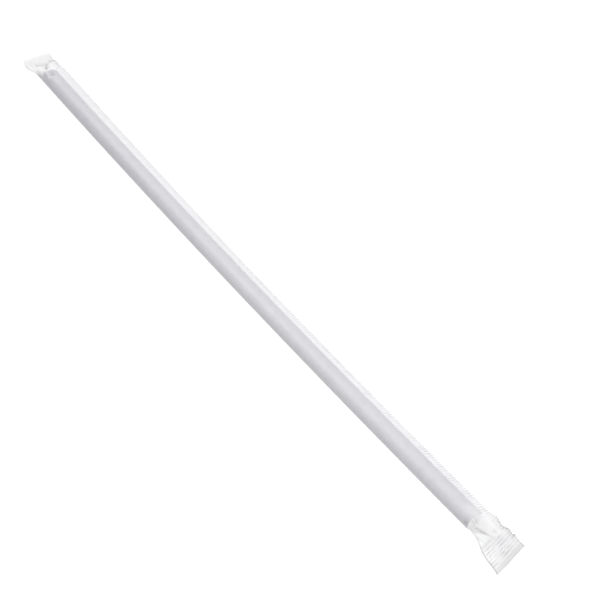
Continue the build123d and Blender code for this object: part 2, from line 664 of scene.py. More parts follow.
@dataclass(frozen=True)
class Fold:
    """A sharp fold line that handling has pressed into an end of the sleeve.

    Attributes:
        points: Corners of the line, each the distance past the straw's end and across it.
        strength: Share of its full depth at each corner.
        depth: Depth of the line, or with a negative value the height of a ridge.
        width: How far the paper beside the line slopes.
        lap: How much higher the paper on the line's left lies than on its right.
        lap_start: How far from the line that step is complete.
        lap_reach: How far from the line the two sides are level again.
        steepness: How steeply the paper beside the line slopes.
    """

    points: tuple
    strength: tuple
    depth: float = 0.3
    width: float = 0.35
    lap: float = 0.0
    lap_start: float = 0.2
    lap_reach: float = 2.5
    steepness: float = 1.4

    def rise(self, past: np.ndarray, across: np.ndarray) -> np.ndarray:
        """Work out what the fold adds to the paper's height.

        Args:
            past: Distances from the straw's end.
            across: Distances from the straw's line to the seam's side.

        Returns:
            Heights to add, below 0 in the fold.
        """
        nearest = np.full_like(past, np.inf)
        height = np.zeros_like(past)
        corners = np.array(self.points)
        for k in range(len(corners) - 1):
            way = corners[k + 1] - corners[k]
            run = (past - corners[k, 0]) * way[0] + (across - corners[k, 1]) * way[1]
            share = np.clip(run / way.dot(way), 0.0, 1.0)
            out = past - corners[k, 0] - share * way[0]
            side = across - corners[k, 1] - share * way[1]
            away = np.hypot(out, side)
            left = np.sign(side * way[0] - out * way[1])
            here = self.strength[k] + share * (self.strength[k + 1] - self.strength[k])
            groove = -self.depth * np.exp(1.0 - np.hypot(1.0, away / self.width * self.steepness))
            step = self.lap / 2 * left * np.tanh(away / self.lap_start) * np.exp(-away / self.lap_reach)
            height = np.where(away < nearest, here * (groove + step), height)
            nearest = np.minimum(nearest, away)
        return height


@dataclass(frozen=True)
class Dent:
    """A small dent in an end of the sleeve, or with a negative depth a bump.

    Attributes:
        past: Distance from the straw's end.
        across: Distance from the straw's line to the seam's side.
        depth: Depth in the middle.
        length: Size along the straw.
        width: Size across it.
    """

    past: float
    across: float
    depth: float
    length: float
    width: float

    def rise(self, past: np.ndarray, across: np.ndarray) -> np.ndarray:
        """What the dent adds to the paper's height at each place."""
        away = ((past - self.past) / self.length) ** 2 + ((across - self.across) / self.width) ** 2
        return -self.depth * np.exp(-away)


@dataclass
class Layout:
    """Between which edges places of the flat sheet come to lie, one value to a place.

    Attributes:
        station: Distances along the straw's line.
        past: Distances past the straw's near end, and past its far end.
        in_row: Rows from the long seam's nearer cut edge.
        turn: Way round the straw, 0 at the seam's upper ply and 1 at its lower ply.
        fold_edge: Reach to the folded side.
        root: Reach to the long seam's root.
        smooth_edge: Reach to the start of its crimped band.
        outer: Reach to its cut edge.
        share: How flat the sleeve is, from 0 to 1.
        upper: True on the upper ply.
    """

    station: np.ndarray
    past: tuple
    in_row: np.ndarray
    turn: np.ndarray
    fold_edge: np.ndarray
    root: np.ndarray
    smooth_edge: np.ndarray
    outer: np.ndarray
    share: np.ndarray
    upper: np.ndarray

    @property
    def on_band(self) -> np.ndarray:
        """True on the long seam."""
        return self.in_row < BAND_ROWS


@dataclass(frozen=True)
class Flap:
    """One closed end of the sleeve. Distances are from the straw's end outwards.

    Attributes:
        length: To the cut edge, on the straw's line.
        skew: Angle of the cut and of the seal's ridges, in degrees.
        skew_start: Where the long seam's ridges start to turn to that angle.
        mouth: To the start of the seal.
        rim: Width of the smooth strip along the cut edge.
        closing: Distances and shares of how flat the sleeve is.
        fold_edge: Distances, and reach to the folded side.
        seam_edge: Distances, and reach to the long seam's cut edge.
        root: Distances, and reach to the long seam's root.
        marks: Sharp folds and dents in it.
        bends: Wide folds of the whole flap.
        pleat: Line of a pleat, as past and across; the folded side lies flat beyond it.
        pleat_share: Distances and shares of how flat it lies there.
        rubbed: Line along which the seal's ridges are pressed flat again, as past and across.
        ridge: Height of the seal's ridges, from crest to valley.
        wear: Unevenness of that height.
        crumple: Height of the flat facets that handling has left.
        crumple_in: Distances at which they start and are full.
        crumple_out: Distances at which they have died out and are still full.
        curl: How far the folded corner of the cut edge turns up.
        edge_curl: How far the long seam's edge turns up beside the flap.
        droop: How far the smooth strip along the cut edge hangs.
        rim_painted_shading: Painted shade on that strip; below 0 it is painted light.
        edge_painted_shading: Painted shade along the side edges, which stand a little on end.
        painted_light_patches: Patches of painted light, their depth being how much paler they are
            painted.
        pleat_step: Distances from the pleat's line over which the paper beyond it flattens.
        facets: Directions in degrees, and sizes, of the crumple's facets.
        marks_start: Distances before the straw's end over which the marks start to be felt.
        joining: Length over which the two plies join, before the seal.
        bends_start: Distances from the seal's start over which the bends start.
        seal_ramp: Half the length over which the seal's ridges start.
        rim_ramp: Half the length over which they end at the smooth strip.
        rim_ridges: What is left of them in that strip.
        rubbed_share: How much the rubbed line takes off them.
        rubbed_width: Half its width.
        even_ridges: How much of the ridges' height is left on average.
        ridge_limits: The least and the most of it that is left anywhere.
        corner_run: Distance from the cut edge over which the corner turns up.
        corner_sides: Places across at which that turn starts and is full.
        edge_start: Distances over which the long seam's edge starts to turn up.
        edge_end: Distances past the seal's start at which it no longer does, and still does.
        edge_width: Width of the strip that turns up there.
        margin: Distances from a side edge at which its painted shade starts and is full.
        margin_start: Distances past the straw over which that painted shade starts.
    """

    length: float
    skew: float
    skew_start: float
    mouth: float
    rim: float
    closing: tuple
    fold_edge: tuple
    seam_edge: tuple
    root: tuple
    marks: tuple
    bends: tuple
    pleat: tuple
    pleat_share: tuple
    rubbed: tuple
    ridge: float
    wear: Ripple
    crumple: float
    crumple_in: tuple
    crumple_out: tuple
    curl: float
    edge_curl: float
    droop: float
    rim_painted_shading: float
    edge_painted_shading: float
    painted_light_patches: tuple
    pleat_step: tuple = (-0.2, 0.35)
    facets: tuple = ((20.0, 3.1), (75.0, 2.3), (-40.0, 2.7), (130.0, 4.3), (100.0, 1.7))
    marks_start: tuple = (-6.0, -5.0)
    joining: float = 2.0
    bends_start: tuple = (-1.5, 1.0)
    seal_ramp: float = 0.4
    rim_ramp: float = 0.3
    rim_ridges: float = 0.15
    rubbed_share: float = 0.75
    rubbed_width: float = 1.3
    even_ridges: float = 0.85
    ridge_limits: tuple = (0.1, 1.05)
    corner_run: float = 3.0
    corner_sides: tuple = (5.0, -6.0)
    edge_start: tuple = (2.5, 4.5)
    edge_end: tuple = (4.6, 3.0)
    edge_width: float = 0.7
    margin: tuple = (0.45, 0.1)
    margin_start: tuple = (3.0, 5.0)

    def in_seal(self, past: np.ndarray) -> np.ndarray:
        """How far into the seal each place lies, from 0 to 1."""
        return smooth(self.mouth - self.seal_ramp, self.mouth + self.seal_ramp, past)

    def felt(self, past: np.ndarray) -> np.ndarray:
        """How strongly the flap's marks are felt at each place, from 0 to 1."""
        return smooth(*self.marks_start, past)

    def joined(self, past: np.ndarray) -> np.ndarray:
        """How far the two plies move as one at each place, from 0 to 1."""
        return smooth(self.mouth - self.joining, self.mouth, past)

    def relief(self, past: np.ndarray, across: np.ndarray) -> np.ndarray:
        """Work out the small shapes that handling has left in the flap.

        Args:
            past: Distances from the straw's end.
            across: Distances from the straw's line to the seam's side.

        Returns:
            Heights to add to the smooth flap.
        """
        bends = np.zeros_like(past)
        for turn, size in self.facets:
            angle = math.radians(turn)
            run = (past * math.cos(angle) + across * math.sin(angle)) / size + turn
            bends += np.abs(run % 1.0 - 0.5) * 2 - 0.5
        crumpled = smooth(*self.crumple_in, past) * smooth(*self.crumple_out, past)
        height = self.crumple / 2 * bends * crumpled
        for mark in self.marks:
            height = height + mark.rise(past, across)
        return height

    def bent(self, past: np.ndarray, across: np.ndarray) -> np.ndarray:
        """What the flap's wide folds add to the paper's height at each place."""
        low, high = self.bends_start
        bends = sum((bend.rise(past, across) for bend in self.bends), np.zeros_like(past))
        return bends * smooth(self.mouth + low, self.mouth + high, past)

    def turned_edges(self, past: np.ndarray, across: np.ndarray, outer: np.ndarray) -> np.ndarray:
        """Work out how far the flap's edges turn up.

        Args:
            past: Distances from the straw's end.
            across: Distances from the straw's line to the seam's side.
            outer: Reach to the long seam's cut edge at each of these places.

        Returns:
            Heights to add.
        """
        gone, full = self.edge_end
        corner = smooth(self.length - self.corner_run, self.length, past) ** 2
        corner = corner * smooth(*self.corner_sides, across)
        beside = smooth(*self.edge_start, past) * smooth(self.mouth + gone, self.mouth + full, past)
        edge = smooth(outer - self.edge_width, outer, across) ** 2
        hang = np.clip((past - self.length + self.rim) / self.rim, 0.0, 1.0)
        return self.curl * corner + self.edge_curl * beside * edge - self.droop * hang

    def pressed(self, past: np.ndarray, across: np.ndarray) -> np.ndarray:
        """Work out how strongly the seal's ridges stand, from 0 to about 1.

        Args:
            past: Distances from the straw's end.
            across: Distances from the straw's line to the seam's side.

        Returns:
            Their strength, 0 outside the seal.
        """
        rim_start = self.length - self.rim
        inside = smooth(rim_start + self.rim_ramp, rim_start - self.rim_ramp, past)
        from_line = (across - np.interp(past, *self.rubbed)) / self.rubbed_width
        flattened = 1.0 - self.rubbed_share * np.exp(-(from_line**2))
        worn = np.clip(self.even_ridges + self.wear.at(past, across), *self.ridge_limits)
        return self.in_seal(past) * (self.rim_ridges + (1 - self.rim_ridges) * inside) * flattened * worn

    def tone(self, past: np.ndarray, across: np.ndarray, place: Layout) -> np.ndarray:
        """Work out the painted shade along the flap's edges, and the painted light of its pale patches.

        Args:
            past: Distances from the straw's end.
            across: Distances from the straw's line to the seam's side.
            place: Between which edges these places lie.

        Returns:
            The painted shade to add, below 0 where it is painted light.
        """
        # Painted shade on the cut edge's strip and along the side edges, painted light in the pale
        # patches.
        strip = smooth(self.length - self.rim, self.length - self.rim / 2, past)
        from_edge = np.minimum(place.outer - across, across + place.fold_edge)
        beside = smooth(*self.margin, from_edge) * smooth(*self.margin_start, past)
        pale = sum(patch.rise(past, across) for patch in self.painted_light_patches)
        return self.rim_painted_shading * strip + self.edge_painted_shading * beside + pale


NEAR_FLAP = Flap(
    length=17.4,
    skew=0.0,
    skew_start=-8.0,
    mouth=8.6,
    rim=2.1,
    closing=((0.2, 1.4, 4.5, 8.6), (0.0, 0.32, 0.72, 1.0)),
    fold_edge=(
        (0.0, 1.3, 5.1, 7.0, 9.0, 11.9, 14.1, 16.3, 17.4),
        (3.15, 2.9, 3.5, 4.3, 5.3, 5.95, 6.1, 6.5, 6.8),
    ),
    seam_edge=(
        (0.0, 1.7, 3.6, 5.3, 7.8, 9.2, 10.0, 11.1, 12.1, 12.5, 13.9, 17.4),
        (5.9, 6.3, 6.6, 6.2, 5.65, 6.25, 6.5, 6.35, 5.85, 6.6, 6.15, 6.1),
    ),
    root=((0.0, 8.6), (3.7, 4.0)),
    marks=(
        Fold(
            ((0.9, -1.35), (1.8, -1.15), (3.4, -0.7), (5.5, -0.15), (7.0, 0.1), (9.2, 0.35)),
            (0.0, 0.7, 1.0, 1.0, 0.7, 0.2),
            0.45,
            0.22,
        ),
        Fold(((0.1, 0.8), (1.2, 0.6), (2.6, 0.0)), (0.3, 1.0, 0.3), 0.55, 0.25, 0.2),
        Fold(((0.6, -0.4), (1.8, -0.6)), (0.9, 0.5), 0.4, 0.2),
        Fold(((0.2, -2.5), (1.0, -2.4), (1.8, -2.2)), (0.3, 1.0, 0.0), 0.25, 0.25, 0.25),
        Fold(((2.0, 3.2), (4.5, 1.6), (7.6, 1.9)), (0.0, 1.0, 0.0), -0.12, 0.5),
        Fold(((8.3, -4.6), (8.3, 3.8)), (0.6, 0.4), 0.15, 0.35),
        Fold(((12.5, 6.4), (12.6, 3.0), (12.7, 0.5)), (1.0, 0.7, 0.0), 0.35, 0.25),
        Dent(7.3, 2.2, 0.32, 0.5, 0.5),
        Dent(0.7, 0.1, -0.35, 0.4, 0.4),
        Dent(0.9, -1.7, -0.35, 0.5, 0.4),
        Dent(-0.8, -2.0, 0.4, 0.9, 0.7),
        Dent(4.6, -2.2, -0.25, 1.6, 0.7),
    ),
    bends=(
        Fold(((8.0, 0.6), (10.5, -0.6), (13.5, -2.4), (17.4, -3.4)), (0.2, 0.8, 1.0, 1.0), 1.65, 5.5),
        Dent(15.0, 0.5, -1.0, 6.0, 9.0),
    ),
    pleat=((0.2, 1.6, 3.2, 5.5, 8.4), (-1.5, -1.15, -0.75, -0.15, 0.15)),
    pleat_share=((0.1, 1.2, 3.0, 5.5), (0.0, 0.5, 0.8, 0.93)),
    rubbed=((8.6, 10.5, 14.0, 17.4), (0.6, -0.6, -2.6, -3.4)),
    ridge=0.46,
    wear=Ripple(1.5, 5.0, 1.3),
    crumple=0.09,
    crumple_in=(0.0, 2.5),
    crumple_out=(10.0, 8.0),
    curl=0.35,
    edge_curl=0.55,
    droop=0.65,
    # Painted shade on the cut edge's strip and side edges, painted light in the pale patches.
    rim_painted_shading=0.2,
    edge_painted_shading=0.5,
    painted_light_patches=(
        Dent(1.1, -1.7, 0.2, 1.0, 1.3),
        Dent(3.4, -2.6, 0.16, 3.6, 1.9),
        Dent(11.5, -4.0, 0.1, 3.5, 2.5),
    ),
)

FAR_FLAP = Flap(
    length=13.4,
    skew=29.5,
    skew_start=0.5,
    mouth=7.2,
    rim=2.0,
    closing=((0.2, 1.0, 3.2, 7.2), (0.0, 0.4, 0.8, 1.0)),
    fold_edge=(
        (0.0, 1.9, 3.7, 6.9, 8.0, 9.8, 11.8, 13.4),
        (3.15, 3.15, 3.25, 4.15, 4.7, 4.65, 4.2, 3.4),
    ),
    seam_edge=((0.0, 3.3, 6.2, 8.0, 8.5, 10.0, 11.7, 13.4), (6.8, 6.4, 6.7, 6.3, 5.6, 6.1, 6.75, 6.5)),
    root=((0.0, 7.2), (3.7, 4.2)),
    marks=(
        Fold(((-4.7, -0.5), (-1.7, 0.2), (0.6, 0.7)), (0.5, 1.0, 0.6), -0.42, 0.5),
        Fold(((-4.6, 2.6), (-4.8, 0.9), (-4.7, -0.5)), (0.3, 1.0, 0.5), -0.26, 0.45),
        Fold(
            ((-1.8, 1.0), (1.2, 1.1), (3.0, 1.1), (4.8, 1.3), (6.9, 2.3)),
            (0.2, 0.8, 1.0, 1.0, 0.5),
            0.5,
            0.4,
        ),
        Fold(((5.6, 1.3), (6.9, 0.8), (7.7, -0.6), (8.1, -2.6)), (0.7, 1.0, 0.9, 0.4), 0.45, 0.85),
        Fold(((6.7, 2.3), (8.0, 4.1), (7.4, 6.5)), (0.7, 1.0, 1.0), 0.42, 0.6),
        Fold(((2.0, 6.5), (0.7, 4.4)), (1.0, 0.7), 0.4, 0.45),
        Fold(((2.8, -0.3), (1.6, -1.1), (0.9, -2.2)), (0.3, 1.0, 0.5), -0.5, 0.4),
        Fold(((3.6, 0.3), (3.0, -1.0), (2.2, -2.4)), (0.3, 1.0, 0.4), 0.4, 0.4),
        Fold(((4.6, -2.6), (3.0, -2.9), (1.0, -2.85)), (0.5, 1.0, 1.0), 1.3, 0.6),
        Dent(-3.5, 1.5, 0.6, 0.7, 0.9),
        Dent(-2.1, 1.9, 0.35, 0.6, 0.6),
        Dent(4.7, 1.25, 0.4, 0.8, 0.6),
        Dent(4.2, 3.2, -0.5, 1.5, 0.8),
    ),
    bends=(),
    pleat=((0.0, 7.2), (-2.0, -2.0)),
    pleat_share=((0.3, 2.0), (0.0, 0.85)),
    rubbed=((7.2, 13.4), (-1.0, 1.5)),
    ridge=0.14,
    wear=Ripple(1.5, 3.0, 1.3),
    crumple=0.13,
    crumple_in=(-3.5, -1.0),
    crumple_out=(10.5, 8.5),
    curl=0.0,
    edge_curl=0.2,
    droop=0.1,
    # Painted light on the cut edge's strip, painted shade along the side edges, painted light in the
    # pale patch.
    rim_painted_shading=-0.12,
    edge_painted_shading=0.1,
    painted_light_patches=(Dent(10.0, 0.6, 0.09, 3.0, 5.0),),
)


@dataclass(frozen=True)
class ShowThrough:
    """How strongly the dark straw shows through the paper, with painted shade on its far half.

    Attributes:
        stations: Places along the straw's line.
        strength: How strongly it shows there, from 0 to 1, its rise towards the far end being painted
            shade.
        crown: Painted shade added to that on the crown in the far half.
        crown_place: The crown's place across.
        crown_width: Half its width.
        crown_fade: Places along the straw's line at which that starts and is full.
        near_end: Distances past the near end at which the straw starts to show and fully shows.
        far_end: The same past the far end.
        seam_side: The same past the long seam's root.
        lift: Patch at the near end where the paper stands off the straw.
        lift_fade: Distances past an end at which the marks no longer lift the paper off, and do.
        clouds: Mottle where the paper lies looser.
    """

    stations: tuple = (-130.0, 0.0)
    strength: tuple = (0.83, 0.71)
    crown: float = 0.18
    crown_place: float = -0.6
    crown_width: float = 1.5
    crown_fade: tuple = (0.0, -70.0)
    near_end: tuple = (0.35, -0.15)
    far_end: tuple = (0.1, -0.9)
    seam_side: tuple = (0.4, 0.0)
    lift: Dent = Dent(-1.8, 3.0, -0.34, 3.2, 1.6)
    lift_fade: tuple = (1.0, -0.5)
    clouds: tuple = (Ripple(1.6, 11.0, 0.07, run=0.4), Ripple(1.9, 12.0, 0.035))

    def value(self, place: Layout, across: np.ndarray, lifted: np.ndarray) -> np.ndarray:
        """Work out how strongly the straw shows.

        Args:
            place: Between which edges the paper lies.
            across: Distances from the straw's line to the seam's side.
            lifted: How far the marks have lifted the paper off the straw.

        Returns:
            The strength at each place, from 0 to 1.
        """
        near_past, far_past = place.past
        shown = smooth(*self.near_end, near_past) * smooth(*self.far_end, far_past)
        shown = shown * smooth(*self.seam_side, across - place.root)
        from_crown = (across - self.crown_place) / self.crown_width
        # Painted shade on the crown, faded in over the far half.
        crown_painted_shade = self.crown * np.exp(-(from_crown**2)) * smooth(*self.crown_fade, place.station)
        loose = lifted + self.lift.rise(near_past, across)
        loose = loose + sum(cloud.at(place.station, across) for cloud in self.clouds)
        # The real show-through, with its rise towards the far end as painted shade.
        strength = np.interp(place.station, self.stations, self.strength)
        return np.clip(shown * (strength + crown_painted_shade - loose), 0.0, 1.0)


@dataclass(frozen=True)
class PaintedCreaseShading:
    """Painted shade in the paper's creases, where less light gets in, and painted highlights on its
    crests.

    Attributes:
        least: Depth up to which a mark has no painted shade.
        creases: Painted shade of the marks, to a millimetre of depth.
        valleys: Painted shade in the ridges' valleys, to a millimetre of depth.
        sharp_valleys: What is added to that on the folded half of the near seal.
        sharp_side: Places across at which that starts and is full.
        crests: Painted highlight on the ridges' crests, to a millimetre of height.
        limits: The palest and the greyest value.
    """

    least: float = 0.12
    creases: float = 0.92
    valleys: float = 1.5
    sharp_valleys: float = 1.2
    sharp_side: tuple = (4.0, 0.5)
    crests: float = 0.6
    limits: tuple = (-0.1, 1.0)

    def value(
        self, tone: np.ndarray, ridges: np.ndarray, across: np.ndarray, near_seal: np.ndarray
    ) -> np.ndarray:
        """Work out the paper's painted shade and highlights.

        Args:
            tone: Painted shade and light of marks and edges.
            ridges: Height of the ridges, below 0 in their valleys.
            across: Distances from the straw's line to the seam's side.
            near_seal: How far into the near seal each place lies.

        Returns:
            The painted shade at each place, below 0 for painted highlights.
        """
        valleys = self.valleys + self.sharp_valleys * near_seal * smooth(*self.sharp_side, across)
        # Painted shade in marks and ridge valleys, less painted highlight on the crests.
        grey = tone * self.creases + np.clip(-ridges, 0.0, 1.0) * valleys
        return np.clip(grey - np.clip(ridges, 0.0, 1.0) * self.crests, *self.limits)


@dataclass
class PaperSleeve:
    """One sheet of thin paper, folded round the straw and crimped shut along three seams.

    Attributes:
        line: The straw's middle line.
        straw_radius: The straw's outer radius.
        straw_height: Height of its middle line.
        section: The sleeve in section round the straw.
        seam: The long seam.
        near: The flap at the near end.
        far: The flap at the far end.
        slack: Unevenness of the paper round the straw.
        show_through: How strongly the straw shows through it.
        creases: Painted shade in its creases and valleys, and painted highlights on its crests.
        thickness: Thickness of the sheet.
        ply: Half the distance between two pressed plies, from middle to middle.
        ply_gap: Least air between two plies that aren't pressed together.
        clearance: Least air between the paper and the straw.
        table_gap: Least air between the paper and the table.
        end_margin: How far past the straw's ends the paper still has to clear it.
        pitch: From one ridge of a crimped band to the next, and the sheet's coarse mesh.
        body_rows: Coarse rows round the straw; each band of the seam is one more row.
        cuts: Cuts that divide a coarse cell at the seams and ends.
        pleat_cuts: Cuts that divide such a cell again at the near flap's pleat.
        fine_near: How far before the straw's near end the finer cells start.
        fine_far: The same at its far end.
        pleat_near: How far before the near end the pleat's cells start.
        smooth_angle: Angle in degrees up to which two faces are shaded as one.
    """

    line: StrawLine
    straw_radius: float
    straw_height: float
    section: Section = Section()
    seam: LongSeam = LongSeam()
    near: Flap = NEAR_FLAP
    far: Flap = FAR_FLAP
    slack: Slack = Slack()
    show_through: ShowThrough = ShowThrough()
    creases: PaintedCreaseShading = PaintedCreaseShading()
    thickness: float = 0.08
    ply: float = 0.055
    ply_gap: float = 0.03
    clearance: float = 0.02
    table_gap: float = 0.005
    end_margin: float = 0.3
    pitch: float = 1.1
    body_rows: int = 28
    cuts: int = 3
    pleat_cuts: int = 1
    fine_near: float = 1.5
    fine_far: float = 6.0
    pleat_near: float = 0.5
    smooth_angle: float = 86.0

    @property
    def flaps(self) -> tuple:
        """The two flaps, in the order of a layout's distances past the straw's ends."""
        return self.near, self.far

    @property
    def rows(self) -> int:
        """Coarse rows across the whole sheet: the body, and the long seam's bands on both sides."""
        return self.body_rows + 2 * BAND_ROWS

    @property
    def start(self) -> float:
        """Place of the far cut edge along the straw's line."""
        return -self.line.half_length - self.far.length

    @property
    def end(self) -> float:
        """Place of the near cut edge along the straw's line."""
        return self.line.half_length + self.near.length

    @property
    def columns(self) -> int:
        """Coarse columns along the sheet, one to a ridge."""
        return round((self.end - self.start) / self.pitch)

    def build(self) -> bpy.types.Object:
        """Make the sleeve.

        Returns:
            The finished and dressed object, at the origin.
        """
        sheet = self.cut_sheet()
        self.fold(sheet)
        self.thicken(sheet)
        self.dress(sheet)
        return sheet

    def sheet_places(self, flat: np.ndarray) -> tuple:
        """Read off where points of the flat sheet lie.

        Args:
            flat: Points of the unit square, one to a row.

        Returns:
            Distances along the straw's line, and rows counted from the upper ply's cut edge.
        """
        station = self.start + (flat[:, 0] + 0.5) * (self.end - self.start)
        return station, (flat[:, 1] + 0.5) * self.rows

    def cut_sheet(self) -> bpy.types.Object:
        """Add the flat sheet, one unit square, with finer cells at the seams and the ends.

        Returns:
            The new object.
        """
        bpy.ops.object.select_all(action="DESELECT")
        bpy.ops.mesh.primitive_grid_add(x_subdivisions=self.columns, y_subdivisions=self.rows, size=1.0)
        sheet = bpy.context.object
        sheet.name = "paper_sleeve"
        sheet.data.name = "paper_sleeve"
        self.refine(sheet, self.at_seams, self.cuts)
        self.refine(sheet, self.at_pleat, self.pleat_cuts)
        return sheet

    def at_seams(self, station: np.ndarray, row: np.ndarray) -> np.ndarray:
        """Tell which places of the flat sheet lie in its seams or ends."""
        half = self.line.half_length
        ends = (station > half - self.fine_near) | (station < -half + self.fine_far)
        return ends | (row < BAND_ROWS) | (row > self.rows - BAND_ROWS)

    def at_pleat(self, station: np.ndarray, row: np.ndarray) -> np.ndarray:
        """Tell which places of the flat sheet lie round the near flap's sharp pleat."""
        past = station - self.line.half_length
        beside = (row > BAND_ROWS) & (row < self.rows / 2 - BAND_ROWS)
        return beside & (past > -self.pleat_near) & (past < self.near.mouth)

    def refine(self, sheet: bpy.types.Object, chosen: Callable, cuts: int) -> None:
        """Divide some of the flat sheet's cells.

        Args:
            sheet: The flat sheet.
            chosen: Tells from stations and rows which places to divide.
            cuts: Cuts through each of those cells.
        """
        bpy.ops.object.mode_set(mode="EDIT")
        bpy.ops.mesh.select_mode(type="FACE")
        bpy.ops.mesh.select_all(action="DESELECT")
        bpy.ops.object.mode_set(mode="OBJECT")
        middles = np.empty(len(sheet.data.polygons) * 3)
        sheet.data.polygons.foreach_get("center", middles)
        station, row = self.sheet_places(middles.reshape(-1, 3))
        sheet.data.polygons.foreach_set("select", chosen(station, row))
        bpy.ops.object.mode_set(mode="EDIT")
        bpy.ops.mesh.subdivide(number_cuts=cuts)
        bpy.ops.mesh.select_all(action="DESELECT")
        bpy.ops.object.mode_set(mode="OBJECT")

    def fold(self, sheet: bpy.types.Object) -> None:
        """Fold the flat sheet round the straw and mark where the straw shows through it.

        Args:
            sheet: The flat sheet.
        """
        flat = np.empty(len(sheet.data.vertices) * 3)
        sheet.data.vertices.foreach_get("co", flat)
        station, row = self.sheet_places(flat.reshape(-1, 3))
        along, across, height, marks = self.folded(self.lay_out(station, row))
        places = self.line.place(along, across, height)
        sheet.data.vertices.foreach_set("co", places.ravel())
        for name, value in marks.items():
            mark = sheet.data.attributes.new(name.value, "FLOAT", "POINT")
            mark.data.foreach_set("value", value.astype(np.float32))
        sheet.data.update()

    def folded(self, place: Layout) -> tuple:
        """Work out the folded sheet.

        Args:
            place: Between which edges the places of the flat sheet come to lie.

        Returns:
            Distances along the straw's line, across it and heights of the folded sheet, and the
            values of its named attributes.
        """
        across, height, gap = self.wrap(place)
        ridges, crimped = self.crimp(place, across)
        handled, tone, lifted = self.handle(place, across, gap)
        slack = self.slack.rise(place.station, across) * (1 - place.share)
        waves = self.seam.waves.at(place.station, across) * smooth(place.root, place.outer, across)
        height = height + np.where(place.on_band, 0.0, slack) + waves + ridges + handled
        # Painted shade in creases, ridge valleys and along flap edges, painted light on crests and in
        # pale patches.
        painted_light_and_shade = self.creases.value(tone, ridges, across, self.near.in_seal(place.past[0]))
        along = self.slanted(place, across, crimped)
        across, height = self.clear_straw(place.station, across, height)
        over_straw = self.show_through.value(place, across, lifted)
        return along, across, height, {Mark.OVER_STRAW: over_straw, Mark.HOLLOW: painted_light_and_shade}

    def lay_out(self, station: np.ndarray, row: np.ndarray) -> Layout:
        """Work out between which edges places of the flat sheet come to lie.

        Args:
            station: Their distances along the straw's line.
            row: Their rows from the upper ply's cut edge.

        Returns:
            The layout of these places.
        """
        seam = self.seam
        past = (station - self.line.half_length, -self.line.half_length - station)
        fold_edge = self.nearer_end(past, self.near.fold_edge, self.far.fold_edge)
        root = self.nearer_end(past, self.near.root, self.far.root)
        outer = np.interp(station, seam.stations, seam.outer_edge)
        for flap, beyond in zip(self.flaps, past):
            outer = np.where(beyond > 0, np.interp(beyond, *flap.seam_edge), outer)
        outer = outer + seam.ragged.at(station, station)
        smooth_edge = np.interp(station, seam.stations, seam.smooth_edge)
        smooth_edge = np.clip(smooth_edge, root + seam.least_smooth, outer - seam.least_crimped)
        turn = np.clip((row - BAND_ROWS) / self.body_rows, 0.0, 1.0)
        share = sum(np.interp(beyond, *flap.closing) for flap, beyond in zip(self.flaps, past))
        flat_across = self.section.flat_across(turn, fold_edge, root)
        for flap, beyond in zip(self.flaps, past):
            pleated = smooth(*flap.pleat_step, np.interp(beyond, *flap.pleat) - flat_across)
            pressed = np.interp(beyond, *flap.pleat_share) * pleated * (turn < 0.5)
            share = np.maximum(share, pressed)
        in_row = np.minimum(row, self.rows - row)
        upper = row <= self.rows / 2
        return Layout(station, past, in_row, turn, fold_edge, root, smooth_edge, outer, share, upper)

    @staticmethod
    def nearer_end(past: tuple, near: tuple, far: tuple) -> np.ndarray:
        """Look up a flap's reach, at whichever end is nearer."""
        near_past, far_past = past
        return np.where(near_past > far_past, np.interp(near_past, *near), np.interp(far_past, *far))

    def wrap(self, place: Layout) -> tuple:
        """Wrap the sheet round the straw, still smooth.

        Args:
            place: Between which edges its places lie.

        Returns:
            The distances across, the heights, and the distances up from the opposite ply.
        """
        root, in_row = place.root, place.in_row
        crimped_band = place.outer + (place.smooth_edge - place.outer) * in_row
        smooth_band = place.smooth_edge + (root - place.smooth_edge) * (in_row - 1)
        band_height = self.section.seam_height + np.where(place.upper, self.ply, -self.ply)
        across, height = self.body(place, place.turn)
        gap = np.where(place.on_band, 0.0, height - self.body(place, 1.0 - place.turn)[1])
        across = np.where(place.on_band, np.where(in_row < 1, crimped_band, smooth_band), across)
        return across, np.where(place.on_band, band_height, height), gap

    def body(self, place: Layout, turn: np.ndarray) -> tuple:
        """Lay out the part of the sheet that goes round the straw.

        Args:
            place: Between which edges its places lie.
            turn: Way round the straw, 0 at the seam's upper ply and 1 at its lower ply.

        Returns:
            The distances across and the heights.
        """
        section = self.section
        outline = section.outline(self.ply)
        steps = np.linspace(0.0, 1.0, len(outline))
        round_across = np.interp(turn, steps, outline[:, 0])
        round_height = np.interp(turn, steps, outline[:, 1])
        fitted = np.where(
            round_across < 0,
            round_across * place.fold_edge / section.waist_reach,
            round_across * place.root / section.seam_reach,
        )
        flat_across = section.flat_across(turn, place.fold_edge, place.root)
        from_fold = (flat_across + place.fold_edge) * np.sign(0.5 - turn)
        flat_height = section.flat_height(from_fold, self.ply)
        across = (1 - place.share) * fitted + place.share * flat_across
        height = (1 - place.share) * round_height + place.share * flat_height
        return across, height

    def crimp(self, place: Layout, across: np.ndarray) -> tuple:
        """Work out the ridges of the three seams.

        Args:
            place: Between which edges the places lie.
            across: Distances from the straw's line to the seam's side.

        Returns:
            Heights to add, and how far into a crimped band each place lies, from 0 to 1.
        """
        seam = self.seam
        pitch = (self.end - self.start) / self.columns
        wave = np.sin(2 * math.pi * (place.station - self.end) / pitch)
        crimped = smooth(*seam.ridge_start, across - place.smooth_edge)
        in_seals = sum(flap.in_seal(past) for flap, past in zip(self.flaps, place.past))
        worn = np.clip(seam.even_ridges + seam.wear.at(place.station, across), *seam.ridge_limits)
        worn = worn * np.interp(place.station, seam.stations, seam.ridge_share)
        ridge = seam.ridge * crimped * worn * (1 - in_seals)
        for flap, past in zip(self.flaps, place.past):
            ridge = ridge + flap.ridge * flap.pressed(past, across)
        return ridge / 2 * wave, np.maximum(crimped, in_seals)

